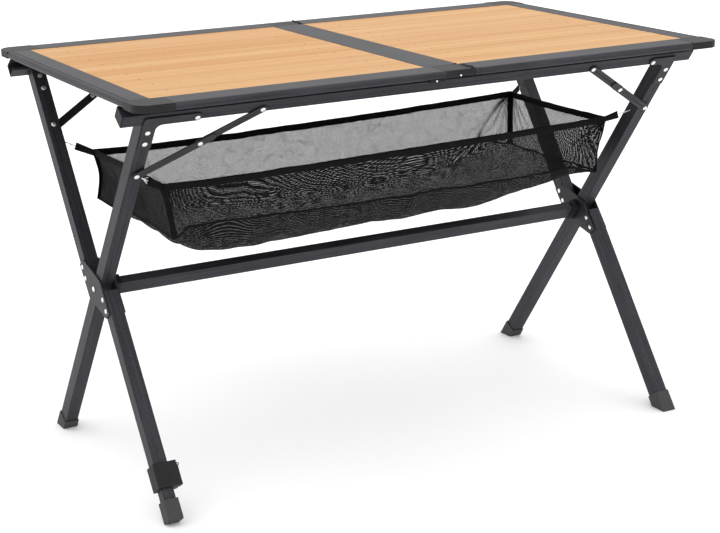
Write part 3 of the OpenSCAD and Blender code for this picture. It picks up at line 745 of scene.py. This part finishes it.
@dataclass
class NetShelf:
    """Hammock-like net shelf: four low walls, a hanging floor, tapes and corner straps."""

    # half length, half width and middle height of the rim, and how much higher its right end is
    rim_l: float = 0.460
    rim_w: float = 0.163
    rim_h: float = 0.564
    rise: float = 0.008
    # the same for the seam between walls and floor
    seam_l: float = 0.446
    seam_w: float = 0.151
    seam_h: float = 0.478
    # how far the rim's sides bow in and dip, and how far its left end is pulled out and up
    bow: float = 0.005
    dip_long: float = 0.003
    dip_short: float = 0.001
    pull_out: float = 0.009
    pull_up: float = 0.004
    # how far the seam lifts and drops at its ends, and how far its corners spread
    seam_lift: float = 0.006
    drop_left: float = 0.020
    drop_right: float = 0.016
    spread_left: float = 0.024
    spread_right: float = 0.006
    # depth of the floor under the seam, and how much shallower it is towards the right
    belly: float = 0.068
    shallow_middle: float = 0.010
    shallow_right: float = 0.026
    shallow_back: float = 0.26
    # grid of the cloth
    long_steps: int = 220
    short_steps: int = 80
    wall_steps: int = 24
    # pleats at the corners, as angles below the rim, and the one long fold of the back wall
    pleats: tuple[float, ...] = (0.62, 0.85, 1.12, 1.34)
    pleat_w: float = 0.0022
    pleat_reach: float = 0.075
    fold: tuple[Triple, Triple] = ((0.437, 0.16, 0.562), (0.370, 0.155, 0.490))
    fold_w: float = 0.0042
    fold_bow: float = 0.008
    bunched_left: float = 0.80
    # tapes, straps and wires
    rim_tape: tuple[float, float] = (2.6 * MM, 13 * MM)
    seam_tape: tuple[float, float] = (1.8 * MM, 4 * MM)
    corner_tape: tuple[float, float] = (2.0 * MM, 12 * MM)
    strap_tape: tuple[float, float] = (4.2 * MM, 15 * MM)
    wire_r: float = 0.7 * MM
    # cloth taken up by the sag of the floor, beside and beyond its middle
    sag_w: float = 0.035
    sag_l: float = 0.02

    def rim(self, a: float, b: float) -> Vector:
        """Point of the rim where a and b are the place along and across, from -1 to 1."""
        slack_x, slack_y = 1 - a * a, 1 - b * b
        bow_y = self.bow * slack_x if on_side(b) else 0.0
        bow_x = self.bow * slack_y if on_side(a) else 0.0
        dip = self.dip_long * slack_x * abs(b) ** 8 + self.dip_short * slack_y * abs(a) ** 8
        wave = rumple(0.0012, a * 9.0, b * 5.0, 3.1)
        pull = max(0.0, -a) ** 8
        return Vector((a * (self.rim_l - bow_x) - self.pull_out * pull, b * (self.rim_w - bow_y),
                       self.rim_h + a * self.rise - dip + wave + self.pull_up * pull))

    def seam(self, a: float, b: float) -> Vector:
        """Point of the seam between the walls and the floor."""
        lift = self.seam_lift * a * a
        lift -= self.drop_left * ease(-a, 0.93, 1.0) * (1 - 0.5 * ease(b, -1.0, 1.0))
        lift -= self.drop_right * ease(a, 0.85, 1.0)
        spread = self.spread_right * max(0.0, a) ** 8
        spread -= self.spread_left * max(0.0, -a) ** 8 * ease(b, -0.5, 1.0)
        wave = rumple(0.003, a * 6.0, b * 4.0, 8.4)
        return Vector((a * self.seam_l + spread, b * self.seam_w, self.seam_h + lift + wave))

    def gather(self, a: float, b: float, down: float) -> float:
        """How bunched a wall's net is, from 0, flat, to 1: pleats that fan out from the corners."""
        from_corner = (1 - abs(a)) * self.rim_l if on_side(b) else (1 - abs(b)) * self.rim_w
        drop = down * (self.rim_h - self.seam_h) + 0.004
        reach = math.hypot(from_corner, drop)
        turn = math.atan2(drop, from_corner) + rumple(0.10, reach * 22.0, a * 3.0, b * 5.0)
        fan = sum(math.exp(-(((turn - angle) * reach) / self.pleat_w) ** 2)
                  for angle in self.pleats)
        place = Vector((a * 9.0 + down * 0.7, b * 6.0, down * 1.6))
        crease = max(0.0, 1 - abs(noise.noise(place * 1.9)) * 16.0) * 0.35
        bunched = self.bunched_left if a < 0 and on_side(a) else 0.0
        return min(1.0, fan * math.exp(-reach / self.pleat_reach) + crease * 0.6 + bunched
                   + self.tuck(self.rim(a, b).lerp(self.seam(a, b), down)))

    def tuck(self, point: Vector) -> float:
        """How far a point lies in the one long fold of the back wall, from 0 to 1."""
        top, foot = (Vector(p) for p in self.fold)
        share = min(max((point - top).dot(foot - top) / (foot - top).length_squared, 0.0), 1.0)
        bow = Vector((-self.fold_bow * math.sin(math.pi * share), 0.0, 0.0))
        return math.exp(-((point - top.lerp(foot, share) - bow).length / self.fold_w) ** 2)

    def wall(self, a: float, b: float, down: float) -> Vector:
        """Point of a wall, down from 0 at the rim to 1 at the seam."""
        point = self.rim(a, b).lerp(self.seam(a, b), down)
        out = Vector((a if on_side(a) else 0.0, b if on_side(b) else 0.0, 0.0))
        flat = rumple(0.004, point.x * 16.0, point.y * 16.0, down * 1.3) - 0.002
        flat += rumple(0.0015, point.x * 42.0, point.y * 42.0, down * 2.5 + 7.0)
        return point + out * math.sin(math.pi * down) * (flat - 0.004 * self.gather(a, b, down))

    def floor(self, a: float, b: float) -> Vector:
        """Point of the hanging floor, deepest towards the front left corner."""
        point = self.seam(a, b)
        depth = self.belly - self.shallow_middle * ease(a, -0.8, -0.1)
        depth -= self.shallow_right * ease(a, 0.3, 1.0)
        depth *= 1 - self.shallow_back * ease(b, -0.75, 0.3) * max(0.0, -a)
        depth += rumple(0.005, point.x * 11.0, point.y * 19.0, 1.7)
        depth += rumple(0.0018, point.x * 34.0, point.y * 40.0, 5.2)
        point.z -= (1 - abs(b) ** 9) * (1 - abs(a) ** (17 if a < 0 else 10)) * depth
        return point

    def floor_gather(self, a: float, b: float) -> float:
        """How bunched the floor's net is, from 0 to 1."""
        return max(0.0, 1 - abs(rumple(1.0, a * 14.0, b * 4.5, 2.2)) * 14.0) * 0.4

    def cloth(self) -> bpy.types.Mesh:
        """The net itself, sewn from five panels, with its weave map in metres."""
        bm = bmesh.new()
        weave = bm.loops.layers.uv.new("weave")
        bunch = bm.verts.layers.float.new("gather")

        def panel(rows: Sequence[Sequence[tuple[Vector, float]]],
                  lay: Callable[[int, int], tuple[float, float]], material: int) -> None:
            """Adds a grid of points and their gathers; lay gives each one's place on the cloth."""
            grid = [[bm.verts.new(point) for point, _ in row] for row in rows]
            for verts, row in zip(grid, rows):
                for vert, (_, gathered) in zip(verts, row):
                    vert[bunch] = gathered
            for i in range(len(grid) - 1):
                for j in range(len(grid[0]) - 1):
                    corners = ((i, j), (i, j + 1), (i + 1, j + 1), (i + 1, j))
                    face = bm.faces.new([grid[m][n] for m, n in corners])
                    face.material_index = material
                    for loop, (m, n) in zip(face.loops, corners):
                        loop[weave].uv = lay(m, n)

        along = np.linspace(-1, 1, self.long_steps + 1)
        across = np.linspace(-1, 1, self.short_steps + 1)
        downs = np.linspace(0, 1, self.wall_steps + 1)
        height = self.rim_h - self.seam_h
        for side in (-1.0, 1.0):
            panel([[(self.wall(a, side, d), self.gather(a, side, d)) for a in along]
                   for d in downs], lambda m, n: (along[n] * self.rim_l, downs[m] * height), 0)
            panel([[(self.wall(side, b, d), self.gather(side, b, d)) for b in across]
                   for d in downs], lambda m, n: (across[n] * self.rim_w, downs[m] * height), 0)
        panel([[(self.floor(a, b), self.floor_gather(a, b)) for a in along] for b in across],
              lambda m, n: (along[n] * self.seam_l, across[m] * self.seam_w * 1.25), 1)
        bmesh.ops.remove_doubles(bm, verts=bm.verts, dist=0.1 * MM)
        bmesh.ops.recalc_face_normals(bm, faces=bm.faces)
        made = bpy.data.meshes.new("net")
        bm.to_mesh(made)
        bm.free()
        return made

    def ring(self, point: Callable[[float, float], Vector]) -> list[Vector]:
        """A closed line round the four sides of the shelf."""
        along = np.linspace(-1, 1, self.long_steps + 1)[:-1]
        across = np.linspace(-1, 1, self.short_steps + 1)[:-1]
        return ([point(a, -1.0) for a in along] + [point(1.0, b) for b in across]
                + [point(-a, 1.0) for a in along] + [point(-1.0, -b) for b in across])

    def follow(self, obj: bpy.types.Object) -> None:
        """Bakes a soft piece's placement into its mesh."""
        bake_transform(obj)

    def hold(self, end: int, side: int) -> tuple[Vector, Vector]:
        """The inner and outer end of a corner's wire hook."""
        low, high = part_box("net_hooks_front" if side < 0 else "net_hooks_back")
        inner = Vector((end * (self.rim_l + 0.0023), side * (self.rim_w - 0.004),
                        self.rim_h + end * self.rise))
        outer = Vector((high.x if end > 0 else low.x, low.y if side < 0 else high.y, high.z))
        return inner, outer - Vector((0.0, side * MM, MM))

    def reach(self, end: int, side: int) -> float:
        """How far along its wire a corner strap goes, from 0 to 1."""
        return 0.48 if end > 0 and side < 0 else 0.62

    def strap(self, name: str, end: int, side: int) -> bpy.types.Object:
        """A corner strap: gathered tape that spreads from the rim's corner to its wire."""
        inner, outer = self.hold(end, side)
        start = self.rim(end, side) - Vector((end * 0.018, side * 0.001, 0.001))
        knee, tip = inner.lerp(outer, 0.04), inner.lerp(outer, self.reach(end, side) + 0.02)
        waist, steps = 5, 8
        path = [start.lerp(knee, k / waist) for k in range(waist)]
        path += [knee.lerp(tip, k / steps) for k in range(steps + 1)]
        last = len(path) - 1
        mesh = Sweep(band(*self.strap_tape)).mesh(
            path, lambda i: Vector((0, 0, 1)),
            lambda i: (1.3 - 0.3 * i / last, 0.74 + 0.26 * abs(i - waist) / steps),
        )
        return new_object(name, mesh, Finish.TAPE)

    def yoke(self, name: str, end: int, side: int) -> bpy.types.Object:
        """The bent wire between a corner strap and its hook."""
        inner, outer = self.hold(end, side)
        share = self.reach(end, side)
        root, tip = inner.lerp(outer, share), inner.lerp(outer, share + 0.20)
        bend, high = root.lerp(tip, 0.2), Vector((0, 0, 6 * MM))
        path = [root + high, bend + high, tip, bend - high, root - high]
        wire = Sweep(round_section(self.wire_r, 10))
        return new_object(name, wire.mesh(path, lambda i: Vector((0, 1, 0))), Finish.STEEL)

    def build(self) -> None:
        net = new_object("net_basket", self.cloth(), Finish.NET)
        net.data.materials.append(Finish.NET_FLOOR.material)
        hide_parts("net_floor", "net_front", "net_back", "net_left", "net_right")
        up = Vector((0, 0, 1))
        rim = Sweep(band(*self.rim_tape), closed=True)
        tape = new_object("rim_tape", rim.mesh(self.ring(self.rim), lambda i: up), Finish.TAPE)
        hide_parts("net_binding")
        seam = Sweep(band(*self.seam_tape), closed=True)
        hem = new_object("floor_seam", seam.mesh(self.ring(self.seam), lambda i: up), Finish.TAPE)
        pieces = [tape, hem]
        for side_x, end in ((-1, "left"), (1, "right")):
            for side_y, face in ((-1, "front"), (1, "back")):
                downs = np.linspace(0, 1, 12)
                path = [self.wall(side_x, side_y, d) for d in downs]
                out = Vector((side_x, side_y, 0)).normalized()
                upright = Sweep(band(*self.corner_tape))
                mesh = upright.mesh(path, lambda i, o=out: o.cross(up))
                pieces.append(new_object(f"corner_tape_{face}_{end}", mesh, Finish.TAPE))
                pieces.append(self.strap(f"corner_strap_{face}_{end}", side_x, side_y))
                yoke = self.yoke(f"wire_yoke_{face}_{end}", side_x, side_y)
                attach(yoke, f"{face}_frame")
        for piece in pieces:
            self.follow(piece)
        self.follow(net)


def main() -> None:
    """Builds the studio and every part of the table in order."""
    logging.basicConfig(level=logging.INFO, format="%(name)s: %(message)s")
    for part in (Studio(), LegFrames(), TableTop(), NetShelf()):
        part.build()
        log.info("built %s", type(part).__name__)


if __name__ == "__main__":
    main()
